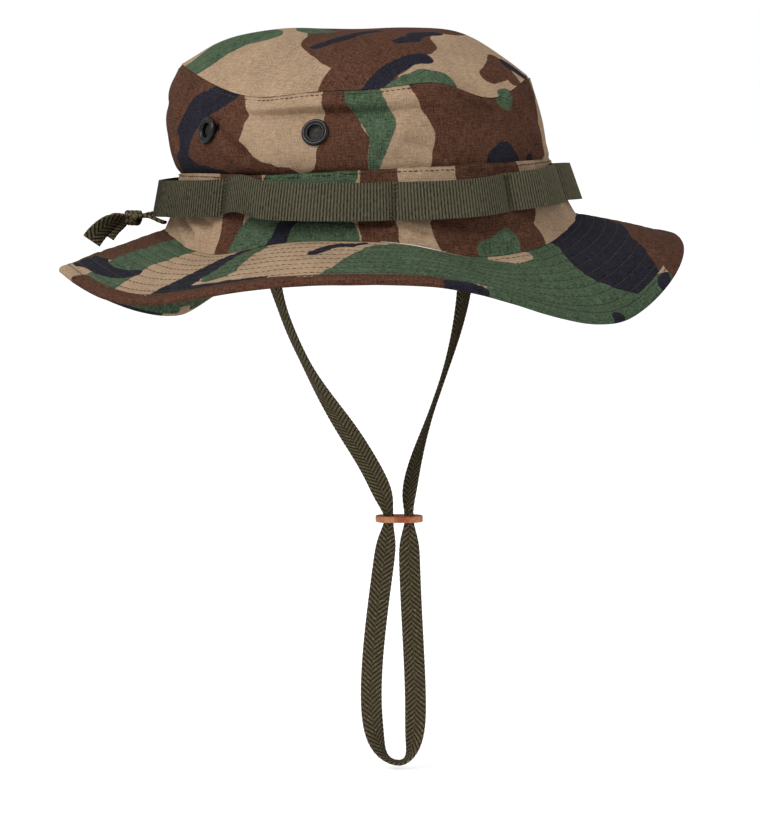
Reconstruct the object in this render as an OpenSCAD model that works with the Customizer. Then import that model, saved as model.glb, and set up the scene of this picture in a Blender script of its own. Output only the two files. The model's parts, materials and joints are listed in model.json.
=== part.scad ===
// Boonie hat: soft crown, quilted brim, branch loops, vents, chin cord with slider, and cord ends
// tied at the back.
// Millimetres. Origin at the centre of the head opening, where crown meets brim.
// +X is the front, +Y the wearer's left, +Z up.

/* [Head opening] */
// Mean half-width of the crown where it meets the brim
opening_r = 98; // [91:0.5:103]
// How much longer than the mean the front-to-back half-axis is
opening_long = 3; // [0:0.5:5]
// How much shorter than the mean the side-to-side half-axis is
opening_short = 6; // [3:0.5:8]

/* [Crown] */
// Half-width at the seam between lower band and upper wall
waist_r = 88; // [84:0.5:91]
// Half-width at the seam between upper wall and top
top_seam_r = 81.3; // [76:0.5:84]
// Height of the waist seam above the brim joint
waist_z = 28; // [26:0.5:32]
// Height of the top seam above the brim joint
top_seam_z = 66; // [62:0.5:72]
// Height of the highest point of the top
apex_z = 92; // [84:1:100]
// Outward swell of the upper wall
wall_swell = 4.5; // [0:0.5:7]
// How far the middle of the upper wall slumps backwards
wall_slump = 3.3; // [0:0.1:4]
// Backward lean of the crown, per millimetre of height
crown_lean = 0.122; // [0:0.01:0.2]
// Thickness of one sewn cloth panel
cloth_t = 0.9; // [0.6:0.1:1.2]
// Angle of the front wall seam, measured from the front
wall_seam_angle = 18; // [0:6:36]

/* [Brim] */
// Brim width, measured along the cloth
brim_w = 52; // [50:0.5:60]
// Drop of the brim edge at the sides
side_drop = 13; // [8:1:18]
// Extra drop of the front of the edge
front_droop = 23.5; // [0:1:28]
// Extra drop of the back of the edge
back_droop = 35; // [0:1:38]
// Share of the drop that comes as curvature
brim_curve = 0.35; // [0:0.05:0.6]
// Thickness of each outer brim ply
ply_t = 0.7; // [0.5:0.1:0.9]
// Thickness of the stiffening layer between the plies
stiffener_t = 1.0; // [0.8:0.1:1.4]
// Number of quilting rows
quilt_rows = 8; // [5:1:8]
// Distance from the joint to the first quilting row
quilt_start = 3; // [2:0.5:4]
// Distance between quilting rows
quilt_pitch = 5.8; // [5:0.1:6]

/* [Branch loops] */
// Width of the loop webbing
webbing_w = 17; // [14:1:18]
// Thickness of the loop webbing
webbing_t = 1.4; // [1:0.1:1.8]
// Height of the middle of the webbing
webbing_z = 14.5; // [13:0.5:17]
// How far a long loop stands off the crown
loop_rise = 8; // [3:0.5:9]

/* [Vents] */
// Outer diameter of a vent eyelet
eyelet_d = 12.8; // [11:0.2:14]
// Bore of a vent eyelet
eyelet_bore = 7.4; // [6:0.2:8]
// Height of the vents
vent_z = 46; // [42:0.5:48]
// Angle of the middle of each pair of vents, measured from the front
vent_mid = 92.5; // [88:0.5:96]
// Angle between a vent and the middle of its pair
vent_angle = 20; // [15:0.5:26]

/* [Cords] */
// Width of the flat braid
cord_w = 10; // [8:0.1:10.5]
// Thickness of the flat braid
cord_t = 1.5; // [1.2:0.1:2]
// Height of the slider below the brim joint
slider_drop = 140; // [120:1:160]
// Height of the end of the loop below the brim joint
loop_drop = 258; // [230:1:280]
// Forward offset of the slider
slider_forward = 17; // [5:1:25]
// Sideways sway of the loop below the slider
loop_sway = 2.8; // [0:0.2:4]
// Turn of the slider about the vertical, from the front
slider_turn = 35; // [0:5:90]
// Length of the leather slider
slider_l = 22.5; // [20:0.5:28]
// Depth of the leather slider
slider_deep = 11; // [9:0.5:14]
// Thickness of the leather slider
slider_t = 3; // [2.5:0.25:4]
// Distance between the slider holes
hole_pitch = 9.6; // [8.5:0.1:11]
// Diameter of the slider holes
hole_d = 5; // [4.6:0.1:5.2]
// Angle at which the tied cord ends leave the crown
tie_angle = -160; // [-175:1:-150]

/* [Hidden] */

$fn = 48;
gap = 0.3;
step = 6;
ring = [0 : step : 360 - step];
seam_z_gap = 0.1;
thread_w = 0.9;
thread_h = 0.45;
bind_reach = 7;
loop_tacks = [-162, -105, -48, -12, 18, 54, 108, 162, 198];
vent_angles = [for (side = [-1, 1], end = [-1, 1]) side * vent_mid + end * vent_angle];
ply_rows = [0.012, 0.2, 0.42, 0.65, 1 - bind_reach / brim_w, 0.975];
anchor = [0, 81.8, -3];
slider_pos = [slider_forward, 0, -slider_drop];

// ---- lines that the hat is sewn along ----

// Signed difference between two angles, from -180 to 180
function turn(a, b) = (a - b + 540) % 360 - 180;

// A smooth bump of height h and half-width w, centred on angle c
function bump(a, c, w, h) = h * exp(-pow(turn(a + 720, c) / w, 2));

function joint_z(a) = -3 + bump(a, -108, 22, -8.5) + bump(a, -25, 16, -7.5) + bump(a, -5, 12, -3.5)
    + bump(a, 30, 20, 6) + bump(a, 60, 30, 5) + bump(a, 110, 25, -4);

function waist_seam_z(a) = waist_z + bump(a, 10, 60, 3.7) + bump(a, -90, 25, -2) + bump(a, -150, 40, -4);

function top_rim_z(a) = top_seam_z + bump(a, -98, 22, -5.5) + bump(a, -60, 20, -1.5) + bump(a, -31, 14, 2.5)
    + bump(a, -9, 16, -6) + bump(a, 35, 22, 4) + bump(a, 110, 25, -3) + bump(a, -150, 28, 9);

function edge_z(a) = -side_drop + bump(a, 0, 22, -front_droop) + bump(a, 176, 30, -back_droop)
    + bump(a, -22, 16, -8.5) + bump(a, -50, 35, -2.5) + bump(a, -105, 27, -16)
    + bump(a, 42, 22, 4) + bump(a, 60, 45, 4);

function webbing_mid_z(a) = webbing_z + bump(a, 20, 40, 6.5) + bump(a, -97, 8, 3) + bump(a, -150, 30, -2.5);

// ---- surfaces ----

// Radius at angle a of an oval with mean half-width r
function oval_r(a, r) = let (p = r + opening_long, q = r - opening_short)
    p * q / sqrt(pow(q * cos(a), 2) + pow(p * sin(a), 2));

function polar(a, r, z) = [r * cos(a), r * sin(a), z];

function leaned(a, r, z) = oval_r(a, r) - crown_lean * z * cos(a);

function band_half(v) = waist_r + (opening_r - waist_r) * pow(1 - v, 2) + sin(180 * v);

// Radius of the lower band at height z
function band_r(a, z) = let (v = min(1, max(0, (z - joint_z(a)) / (waist_seam_z(a) - joint_z(a)))))
    leaned(a, band_half(v), z);

function band_point(a, v, inset) = let (z = joint_z(a) + 0.4 + (waist_seam_z(a) - joint_z(a) - 0.5) * v)
    polar(a, band_r(a, z) - inset, z);

function wall_half(v) = waist_r + (top_seam_r - waist_r) * pow(v, 4) + wall_swell * sin(180 * v) * (1 - v);

function wall_r(a, v) = leaned(a, wall_half(v), wall_z(a, v)) - wall_slump * sin(180 * v) * cos(a);

function wall_z(a, v) = waist_seam_z(a) + seam_z_gap + (top_rim_z(a) - waist_seam_z(a) - seam_z_gap) * v;

function wall_point(a, v, inset) = polar(a, wall_r(a, v) - inset, wall_z(a, v));

// Radius of the upper wall at height z
function wall_r_at(a, z) = wall_r(a, (z - waist_seam_z(a)) / (top_rim_z(a) - waist_seam_z(a)));

// Point of the top, rho = 1 at the rim and 0 at the crown's middle, lowered by d
function top_point(a, rho, d) = let (
        rim = wall_point(a, 1, 0),
        mid_x = -crown_lean * top_seam_z,
        share = pow(1 - pow(rho, 3.5), 1.1)
    ) [
        mid_x + (rim[0] - mid_x) * rho * (1 - d / top_seam_r),
        rim[1] * rho * (1 - d / top_seam_r),
        rim[2] + gap + (apex_z - rim[2]) * share - d * sqrt(share)
    ];

// Point of the brim: s runs from 0 at the joint to 1 at the edge, d is depth below the upper face
function brim_point(a, s, d) = let (
        fall = edge_z(a) - joint_z(a),
        run = sqrt(max(100, brim_w * brim_w - fall * fall)),
        slope = atan2(fall * (1 - brim_curve + 2 * brim_curve * s), run)
    ) polar(a, oval_r(a, opening_r) + run * s + d * sin(slope),
        joint_z(a) + fall * s * (1 - brim_curve + brim_curve * s) - d * cos(slope));

// ---- solids swept through a list of equal-length point loops ----

// The faces of the first half of each loop are split along one diagonal and those of the second half
// along the other, so that the two sides of a sheet stay parallel where it twists.
module skin(loops, closed = true) {
    n = len(loops);
    k = len(loops[0]);
    last = closed ? n - 1 : n - 2;
    sides = [for (j = [0 : last], i = [0 : k - 1])
        let (a = j * k + i, b = j * k + (i + 1) % k, m = ((j + 1) % n) * k, c = m + (i + 1) % k, d = m + i)
            each i < k / 2 - 0.75 ? [[a, b, c], [a, c, d]] : [[a, b, d], [b, c, d]]];
    caps = closed ? [] : [[for (i = [k - 1 : -1 : 0]) i], [for (i = [0 : k - 1]) (n - 1) * k + i]];
    polyhedron([for (l = loops) each l], concat(sides, caps), convexity = 8);
}

function reversed(l) = [for (i = [len(l) - 1 : -1 : 0]) l[i]];

// Angles of one half of the hat, from one wall seam to the other
function half_angles(from) = concat([from + 0.07], [for (a = [from + step : step : from + 180 - step]) a],
    [from + 180 - 0.07]);

module wall_panel(from) {
    rows = [0, 0.25, 0.5, 0.75, 0.92, 1];
    skin([for (a = half_angles(from)) concat(
        [for (v = rows) wall_point(a, v, 0)],
        reversed([for (v = rows) wall_point(a, v, cloth_t)])
    )], closed = false);
}

module band_panel(from) {
    rows = [0, 0.2, 0.45, 0.7, 1];
    skin([for (a = half_angles(from)) concat(
        [for (v = rows) band_point(a, v, 0)],
        reversed([for (v = rows) band_point(a, v, cloth_t)])
    )], closed = false);
}

module brim_layer(d_top, d_bottom) {
    skin([for (a = ring) concat(
        [for (s = ply_rows) brim_point(a, s, d_bottom)],
        reversed([for (s = ply_rows) brim_point(a, s, d_top)])
    )]);
}

// A row of thread lying on the brim at s
module brim_thread(s, d) {
    half = thread_w / 2 / brim_w;
    skin([for (a = ring) [
        brim_point(a, s - half, d), brim_point(a, s + half, d), brim_point(a, s, d - thread_h)
    ]]);
}

// ---- crown ----

module crown_top() {
    rows = [0.15, 0.4, 0.62, 0.78, 0.9, 1];
    color("darkkhaki") skin(concat(
        [for (rho = rows) [for (a = ring) top_point(a, rho, 0)]],
        reversed([for (rho = rows) [for (a = ring) top_point(a, rho, cloth_t)]])
    ), closed = false);
}

module vent_holes() {
    at_vents() cylinder(d = eyelet_bore + 1.8, h = 24, center = true);
}

module crown_wall_right() {
    color("peru") difference() {
        wall_panel(wall_seam_angle - 180);
        vent_holes();
    }
}

module crown_wall_left() {
    color("sienna") difference() {
        wall_panel(wall_seam_angle);
        vent_holes();
    }
}

module crown_band_right() {
    color("tan") band_panel(wall_seam_angle - 180);
}

module crown_band_left() {
    color("rosybrown") band_panel(wall_seam_angle);
}

// Narrow tape that covers the top seam inside the crown
module top_seam_tape() {
    color("olivedrab") skin([for (a = ring) [
        wall_point(a, 0.84, cloth_t + 0.4), wall_point(a, 0.97, cloth_t + 0.4),
        wall_point(a, 0.97, cloth_t + 1), wall_point(a, 0.84, cloth_t + 1)
    ]]);
}

// One row on the band under the waist seam, one on the wall under the top seam
module crown_stitching() {
    color("darkolivegreen") {
        skin([for (a = ring) [
            band_point(a, 0.93, -0.5), band_point(a, 0.9, -0.5), band_point(a, 0.915, -0.5 - thread_h)
        ]]);
        skin([for (a = ring) [
            wall_point(a, 0.96, -0.3), wall_point(a, 0.94, -0.3), wall_point(a, 0.95, -0.3 - thread_h)
        ]]);
    }
}

// ---- brim ----

function layer_top(i) = [0, ply_t + gap, ply_t + stiffener_t + 2 * gap][i];

brim_t = 2 * ply_t + stiffener_t + 2 * gap;

module brim_upper_ply() {
    color("darkkhaki") brim_layer(layer_top(0), ply_t);
}

module brim_stiffener() {
    color("lightgray") brim_layer(layer_top(1), layer_top(1) + stiffener_t);
}

module brim_lower_ply() {
    color("burlywood") brim_layer(layer_top(2), brim_t);
}

// Folded strip round the brim edge
module brim_binding() {
    inner = 1 - bind_reach / brim_w;
    slack = gap + 0.12;
    color("saddlebrown") skin([for (a = ring) [
        brim_point(a, 1, brim_t + slack + ply_t), brim_point(a, 1.01, brim_t / 2),
        brim_point(a, 1, -slack - ply_t), brim_point(a, inner, -slack - ply_t),
        brim_point(a, inner, -slack), brim_point(a, 0.985, -slack),
        brim_point(a, 0.985, brim_t + slack), brim_point(a, inner, brim_t + slack),
        brim_point(a, inner, brim_t + slack + ply_t)
    ]]);
}

module brim_quilting() {
    color("darkolivegreen") for (i = [0 : quilt_rows - 1])
        brim_thread((quilt_start + i * quilt_pitch) / brim_w, -0.45);
}

module binding_stitching() {
    color("darkolivegreen") brim_thread(1 - (bind_reach - 1.8) / brim_w, -ply_t - gap - 0.4);
}

// ---- sweatband ----

// Point of the sweatband at height h above the joint, a given inset from the band's outer face
function sweat_point(a, h, inset) = polar(a, band_r(a, joint_z(a) + h) - inset, joint_z(a) + h);

module sweatband() {
    rows = [1, 9, 17, 25];
    color("olive") skin([for (a = ring) concat(
        [for (h = rows) sweat_point(a, h, 4.6)],
        reversed([for (h = rows) sweat_point(a, h, 5.6)])
    )]);
}

module sweatband_stitching() {
    color("darkolivegreen") skin([for (a = ring) [
        sweat_point(a, 23.6, 5.7), sweat_point(a, 22.8, 6.15), sweat_point(a, 22, 5.7)
    ]]);
}

// ---- branch loops ----

// How far the webbing stands off the crown at angle a
function loop_off(a) = max([for (i = [0 : len(loop_tacks) - 2])
    let (t0 = loop_tacks[i], t1 = loop_tacks[i + 1], b = a > t1 ? a - 360 : a, c = b < t0 ? b + 360 : b,
         rise = min(loop_rise, (t1 - t0) / 5.5))
        c >= t0 && c <= t1 ? rise * pow(sin(180 * (c - t0) / (t1 - t0)), 0.8) : 0]);

function webbing_r(a, z) = band_r(a, z) + 1.1 + loop_off(a);

module branch_loop_webbing() {
    color("dimgray") skin([for (a = [-180 : 3 : 177])
        let (lo = webbing_mid_z(a) - webbing_w / 2, hi = webbing_mid_z(a) + webbing_w / 2,
             r_lo = webbing_r(a, lo + 2), r_hi = webbing_r(a, hi))
            [polar(a, r_lo + webbing_t, lo), polar(a, r_hi + webbing_t, hi),
             polar(a, r_hi, hi), polar(a, r_lo, lo)]
    ]);
}

module loop_bar_tacks() {
    color("darkolivegreen") for (i = [0 : len(loop_tacks) - 2]) {
        a = loop_tacks[i];
        z = webbing_mid_z(a);
        r_lo = webbing_r(a, z - webbing_w / 2 + 2);
        r_hi = webbing_r(a, z + webbing_w / 2);
        rotate([0, 0, a]) translate([(r_lo + r_hi) / 2 + webbing_t, 0, z])
            rotate([0, -atan2(r_lo - r_hi, webbing_w), 0])
                translate([1.3, 0, 0]) cube([0.8, 1.8, webbing_w - 3], center = true);
    }
}

// ---- vents ----

// Upward tilt of the wall's face at a vent
function vent_tilt(a) = atan2(wall_r_at(a, vent_z - 4) - wall_r_at(a, vent_z + 4), 8);

module at_vents() {
    for (a = vent_angles) rotate([0, 0, a]) translate([wall_r_at(a, vent_z), 0, vent_z])
        rotate([0, 90 - vent_tilt(a), 0]) children();
}

// Rolled rim outside the wall, barrel through the hole
module vent_eyelets() {
    barrel_r = eyelet_bore / 2;
    rim_r = eyelet_d / 2;
    rim_lift = 0.8;
    roll_r = 0.5;
    color("black") at_vents() rotate_extrude() {
        translate([barrel_r, -3.8]) square([0.4, 5]);
        translate([barrel_r, rim_lift]) square([rim_r - barrel_r - 0.8, 0.5]);
        translate([rim_r - 0.8, rim_lift + 0.45]) circle(r = roll_r, $fn = 24);
        translate([barrel_r + 0.3, rim_lift + 0.6]) circle(r = roll_r, $fn = 24);
    }
}

module vent_washers() {
    color("black") at_vents() translate([0, 0, -3.2]) difference() {
        cylinder(d = eyelet_d - 0.6, h = 0.5);
        translate([0, 0, -1]) cylinder(d = eyelet_bore + 1.2, h = 3);
    }
}

// Woven wire discs held in the eyelet barrels
module vent_screens() {
    pitch = 1.3;
    wire = 0.35;
    disc_r = eyelet_bore / 2 - 0.15;
    color("dimgray") at_vents() {
        rotate_extrude() translate([disc_r - 0.5, -0.9]) square([0.5, 0.6]);
        for (i = [-2 : 2]) {
            half = sqrt(pow(disc_r - 0.25, 2) - pow(i * pitch, 2));
            translate([-half, i * pitch - wire / 2, -0.8]) cube([2 * half, wire, 0.35]);
            translate([i * pitch - wire / 2, -half, -0.6]) cube([wire, 2 * half, 0.3]);
        }
    }
}

// ---- cords ----

function unit(v) = v / norm(v);

// Point of a cubic curve
function curve(p, t) = pow(1 - t, 3) * p[0] + 3 * t * pow(1 - t, 2) * p[1]
    + 3 * t * t * (1 - t) * p[2] + pow(t, 3) * p[3];

// Flat braid through points, its width laid along the horizontal direction turns[i]
module braid(points, turns, widths, thicks) {
    n = len(points);
    skin([for (i = [0 : n - 1]) let (
            along = unit(points[min(i + 1, n - 1)] - points[max(i - 1, 0)]),
            flat = [cos(turns[i]), sin(turns[i]), 0],
            side = unit(flat - (flat * along) * along),
            face = cross(along, side),
            w = side * widths[i] / 2,
            t = face * thicks[i] / 2
        ) [points[i] - w + t, points[i] + w + t, points[i] + w - t, points[i] - w - t]
    ], closed = false);
}

// Half of the chin cord: side is -1 for the wearer's right and 1 for the left
leg_steps = 24;
loop_steps = 24;
function slider_hole(side) = slider_pos + side * hole_pitch / 2 * [cos(slider_turn), sin(slider_turn), 0];
function leg_points(side) = let (hole = slider_hole(side), top = [anchor[0], side * anchor[1], anchor[2]]) [
    for (i = [0 : leg_steps]) curve([top, top + [7.4, -side, -65], [11.5, side * 10, -103], hole + [0, 0, 3]],
        i / leg_steps)
];
function loop_offset(t) = curve([hole_pitch / 2, 7, 19, 0], t);
function loop_z(t) = curve([-slider_drop - 3, -slider_drop - 45, -loop_drop, -loop_drop], t);
function loop_points(side) = [for (i = [0 : loop_steps]) let (t = i / loop_steps)
    [slider_forward, 0, loop_z(t)]
        + (side * loop_offset(t) - loop_sway * sin(180 * t)) * [cos(slider_turn), sin(slider_turn), 0]];

function smooth(x) = let (c = min(1, max(0, x))) c * c * (3 - 2 * c);
// Direction of the braid's width along a leg. It starts flat to the head and twists on its way down;
// the right leg ends in the loop's plane.
function leg_turn(side, t) = slider_turn - 35
    + (side < 0 ? 65 * smooth((t - 0.2) / 0.3) - 30 * smooth(t / 0.2)
                : 35 * smooth((t - 0.65) / 0.35) - 50 * smooth(t / 0.6));
function loop_twist(t) = 90 * smooth((t - 0.55) / 0.45);
function pinch(z) = exp(-pow((z + slider_drop) / 9, 2));

module chin_cord() {
    right = leg_points(-1);
    left = leg_points(1);
    down = loop_points(-1);
    up = loop_points(1);
    path = concat(right, down, [for (i = [loop_steps - 1 : -1 : 0]) up[i]], reversed(left));
    turns = concat(
        [for (i = [0 : leg_steps]) leg_turn(-1, i / leg_steps)],
        [for (i = [0 : loop_steps]) slider_turn + loop_twist(i / loop_steps)],
        [for (i = [loop_steps - 1 : -1 : 0]) slider_turn + 180 - loop_twist(i / loop_steps)],
        [for (i = [leg_steps : -1 : 0]) 180 + leg_turn(1, i / leg_steps)]
    );
    color("darkolivegreen") braid(path, turns,
        [for (p = path) cord_w - (cord_w - 3.6) * pinch(p[2])],
        [for (p = path) cord_t + (2.5 - cord_t) * pinch(p[2])]);
}

// Part of the cord that lies between sweatband and crown, from the sides to the back
module cord_in_channel() {
    lift = 8;
    right = [tie_angle + 4 : step : -96];
    left = [96 : step : 360 + tie_angle - 4];
    color("darkolivegreen") for (angles = [right, left])
        skin([for (a = angles) [
            sweat_point(a, lift + cord_w / 2, 1.6), sweat_point(a, lift + cord_w / 2, 1.6 + cord_t),
            sweat_point(a, lift - cord_w / 2, 1.6 + cord_t), sweat_point(a, lift - cord_w / 2, 1.6)
        ]], closed = false);
}

// Leather plate with two holes, the cord runs through it downwards
module leather_slider() {
    color("chocolate") translate(slider_pos) rotate([0, 0, slider_turn]) difference() {
        union() {
            cube([slider_l - slider_deep, slider_deep, slider_t], center = true);
            for (x = [-1, 1]) translate([x * (slider_l - slider_deep) / 2, 0, 0])
                cylinder(d = slider_deep, h = slider_t, center = true);
        }
        for (x = [-1, 1]) translate([x * hole_pitch / 2, 0, 0])
            cylinder(d = hole_d, h = 3 * slider_t, center = true);
    }
}

// Two strands, a knot and two slant-cut ends, lying on the back of the brim
module back_tie() {
    root_r = band_r(tie_angle, joint_z(tie_angle)) + 1.2;
    knot = [root_r + 17, 0, 1];
    knot_half = 2.6;
    tie_steps = 6;
    color("darkolivegreen") rotate([0, 0, tie_angle]) {
        for (side = [-1, 1]) {
            strand = [[root_r, -side * 4, 0.6 + side * 1.4], [root_r + 5, -side * 4, 1.5 + side * 2],
                knot + [-10, -side * 3, 3], knot + [-knot_half - 0.4, -side * 2.6, 0]];
            tail = [knot + [knot_half + 0.4, side * 2.6, 0], knot + [9, side * 4, 1],
                knot + [13, side * 7, -2], knot + [18 + side, side * 8, -10 - side]];
            braid([for (i = [0 : tie_steps]) curve(strand, i / tie_steps)], [for (i = [0 : tie_steps]) 90],
                [for (i = [0 : tie_steps]) 6.5 - 2 * i / tie_steps], [for (i = [0 : tie_steps]) cord_t]);
            braid([for (i = [0 : tie_steps]) curve(tail, i / tie_steps)], [for (i = [0 : tie_steps]) 90],
                [for (i = [0 : tie_steps]) 4.5 + (cord_w - 4.5) * i / tie_steps],
                [for (i = [0 : tie_steps]) cord_t]);
        }
        translate(knot) rotate([0, 90, 0]) rotate_extrude() translate([3.2, 0]) circle(r = knot_half, $fn = 24);
    }
}

crown_top();
crown_wall_right();
crown_wall_left();
crown_band_right();
crown_band_left();
top_seam_tape();
crown_stitching();
brim_upper_ply();
brim_stiffener();
brim_lower_ply();
brim_binding();
brim_quilting();
binding_stitching();
sweatband();
sweatband_stitching();
branch_loop_webbing();
loop_bar_tacks();
vent_eyelets();
vent_washers();
vent_screens();
cord_in_channel();
chin_cord();
leather_slider();
back_tie();
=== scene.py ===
import json
import math

import bmesh
import bpy
import numpy as np
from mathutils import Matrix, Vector


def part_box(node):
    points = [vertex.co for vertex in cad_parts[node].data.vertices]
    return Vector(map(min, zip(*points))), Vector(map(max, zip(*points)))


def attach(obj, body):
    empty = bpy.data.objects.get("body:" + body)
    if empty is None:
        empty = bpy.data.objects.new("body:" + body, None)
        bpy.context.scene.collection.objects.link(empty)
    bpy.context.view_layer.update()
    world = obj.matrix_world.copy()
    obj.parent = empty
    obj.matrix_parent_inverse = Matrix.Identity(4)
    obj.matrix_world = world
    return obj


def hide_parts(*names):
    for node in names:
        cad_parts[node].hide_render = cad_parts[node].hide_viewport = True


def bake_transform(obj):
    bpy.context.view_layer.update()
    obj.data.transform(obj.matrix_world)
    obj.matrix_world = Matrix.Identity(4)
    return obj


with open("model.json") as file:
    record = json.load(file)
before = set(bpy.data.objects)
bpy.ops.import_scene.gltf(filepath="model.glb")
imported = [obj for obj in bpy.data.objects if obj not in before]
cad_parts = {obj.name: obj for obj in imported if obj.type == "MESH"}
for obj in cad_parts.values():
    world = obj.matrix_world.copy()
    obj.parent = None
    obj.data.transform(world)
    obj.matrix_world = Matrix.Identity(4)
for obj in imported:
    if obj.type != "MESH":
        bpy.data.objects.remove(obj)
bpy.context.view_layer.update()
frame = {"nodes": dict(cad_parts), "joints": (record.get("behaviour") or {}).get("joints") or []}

# Lengths are millimetres and angles degrees until a mesh is made. Angles run from the front (+X) to the
# wearer's left (+Y). Places come from the CAD nodes; the values below say how the cloth is sewn.
MM = 0.001
STATION = 6               # degrees between the CAD's sections round the hat
WEB_STATION = 3           # the same for the webbing
PLY_REACH = 0.975         # how far out the CAD's brim plies go, as a share of the brim
BRIM_CURVE = 0.35         # share of the brim's fall that comes as curvature
BRIM_W = 52.0
BRIM_T = 3.0              # brim thickness without the binding
WALL_SWELL = 4.5          # outward swell of the upper wall
WALL_SLUMP = 3.3          # how far the middle of the upper wall slumps backwards
SEAM_ANGLE = 18           # the wall's front seam; the other is opposite
QUILT_START, QUILT_PITCH, QUILT_ROWS = 3.0, 5.8, 8
BIND_W = 5.5
THREAD_R = 0.27
WALL_MID_R = 88.0         # radius at which the crown's panels are laid out flat
BRIM_MID_R = 125.0        # radius at which the brim is laid out flat
VIEW_TURN, VIEW_LIFT = 35, 6      # the camera's angle round the hat, and above it
VIEW_DISTANCE = 1800


# ---- reading the frame ----

def node_corners(*names):
    """Angle, radius and height of the corners of CAD nodes."""
    found = []
    for name in names:
        mesh = frame["nodes"][name].data
        flat = np.empty(len(mesh.vertices) * 3)
        mesh.vertices.foreach_get("co", flat)
        found.append(flat.reshape(-1, 3) / MM)
    co = np.vstack(found)
    return np.degrees(np.arctan2(co[:, 1], co[:, 0])), np.hypot(co[:, 0], co[:, 1]), co[:, 2]


def around(samples):
    """Smooth closed line through samples spread evenly round the hat."""
    n = len(samples)

    def at(a):
        t = np.asarray(a, float) % 360 * n / 360
        i = np.floor(t).astype(int)
        f = (t - i)[..., None]
        p0, p1, p2, p3 = (samples[(i + k) % n] for k in (-1, 0, 1, 2))
        return p1 + f / 2 * (p2 - p0 + f * (2 * p0 - 5 * p1 + 4 * p2 - p3 + f * (3 * (p1 - p2) + p3 - p0)))
    return at


def cad_line(names, score, step=STATION):
    """Radius and height, round the hat, of the CAD corner with the highest score in each section."""
    angle, r, z = node_corners(*names)
    value = score(r, z)
    picked = []
    for a in np.arange(0, 360, step):
        near = np.flatnonzero(np.abs((angle - a + 180) % 360 - 180) < 0.5)
        best = near[np.argmax(value[near])]
        picked.append((r[best], z[best]))
    return around(np.array(picked))


bands = ("crown_band_right", "crown_band_left")
JOINT = cad_line(bands, lambda r, z: 0.01 * r - z)
WAIST = cad_line(bands, lambda r, z: z + 0.01 * r)
RIM = cad_line(["crown_top"], lambda r, z: 0.01 * r - z)
EDGE = cad_line(["brim_upper_ply"], lambda r, z: r)
WEB_LOW = cad_line(["branch_loop_webbing"], lambda r, z: 0.1 * r - z, WEB_STATION)
WEB_HIGH = cad_line(["branch_loop_webbing"], lambda r, z: 0.1 * r + z, WEB_STATION)
APEX_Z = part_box("crown_top")[1].z / MM
RIM_Z = float(RIM(np.arange(0, 360, STATION))[:, 1].mean())
LEAN = float((RIM(180) - RIM(0) - WAIST(180) + WAIST(0))[0] / 2 / (RIM_Z - WAIST(90)[1]))
TOP_MID_X = -LEAN * RIM_Z


def middle(node):
    """Centre of a CAD node's box."""
    low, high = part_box(node)
    return np.array((low + high) / 2) / MM


def joint_named(name):
    return next(j for j in frame["joints"] if j["name"] == name)


# ---- smooth noise and shapes, the same each run ----

def ripple(points, size, seed, waves=14):
    """Smooth noise of about -1 to 1 at points, with features of about the given size."""
    rng = np.random.default_rng(seed)
    direction = rng.normal(size=(waves, points.shape[-1]))
    direction /= np.linalg.norm(direction, axis=1)[:, None]
    k = direction * 2 * np.pi / (size * rng.uniform(1.4, 3.2, waves))[:, None]
    phase = rng.uniform(0, 2 * np.pi, waves)
    return np.sin(points @ k.T + phase).sum(-1) / math.sqrt(waves)


def hump(x, centre, width):
    return np.exp(-((x - centre) / width) ** 2)


def turn(a, b):
    """Signed angle from b to a."""
    return (a - b + 180) % 360 - 180


def smooth(x):
    x = np.clip(x, 0, 1)
    return x * x * (3 - 2 * x)


def polar(a, r, z):
    a = np.radians(a)
    return np.stack(np.broadcast_arrays(r * np.cos(a), r * np.sin(a), z), -1)


# ---- the hat's surfaces, as functions of angle and share of the way along ----

# Height of each panel laid out flat, and its folds: (x, y) to (x, y), half-width, depth.
BAND_H, WALL_FOLD_H = 36.0, 38.0
BAND_FOLDS = [
    ((-207, 17), (-183, 5), 2.0, 1.5), ((-190, 18), (-172, 12), 2.2, 1.0),
    ((-120, 11), (-76, 8), 1.6, 1.3), ((-84, 12), (-60, 5), 1.5, 1.2), ((-52, 13), (-14, 9), 1.8, 1.1),
    ((60, 14), (105, 8), 2.0, 1.3), ((150, 15), (190, 6), 2.0, 1.4), ((215, 14), (240, 6), 1.8, 1.0),
]
WALL_FOLDS = [
    ((-168, 22), (-150, 10), 2.4, 0.9), ((-44, 34), (-14, 29), 2.2, 0.8), ((4, 30), (14, 6), 2.5, 0.7),
    ((-66, 12), (-48, 4), 2.0, 0.5), ((70, 28), (120, 25), 2.4, 1.6), ((150, 30), (185, 10), 2.6, 1.2),
    ((205, 12), (250, 20), 2.4, 1.0), ((-235, 26), (-205, 12), 2.4, 0.9),
]


def creases(a, y, lines):
    """How far a crown panel sinks along straight folds, with a low ridge beside each."""
    flat = np.stack(np.broadcast_arrays(np.radians(a) * WALL_MID_R, y), -1)
    sink = 0.0
    for start, end, half_width, depth in lines:
        start, along = np.array(start, float), np.subtract(end, start)
        t = np.clip(((flat - start) @ along) / (along @ along), 0, 1)
        away = np.linalg.norm(flat - start - t[..., None] * along, axis=-1)
        ridge = hump(away, 2.4 * half_width, 1.3 * half_width)
        sink = sink + depth * (hump(away, 0, half_width) - 0.45 * ridge)
    return sink


def puckers(a, radius, distance, seed):
    """Small gathers across a seam, at a distance from it in millimetres."""
    along = np.stack(np.broadcast_arrays(np.radians(a) * radius, 0.2 * distance), -1)
    return 0.3 * ripple(along, 5, seed, 10) * hump(distance, 2.5, 3.5)


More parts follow.
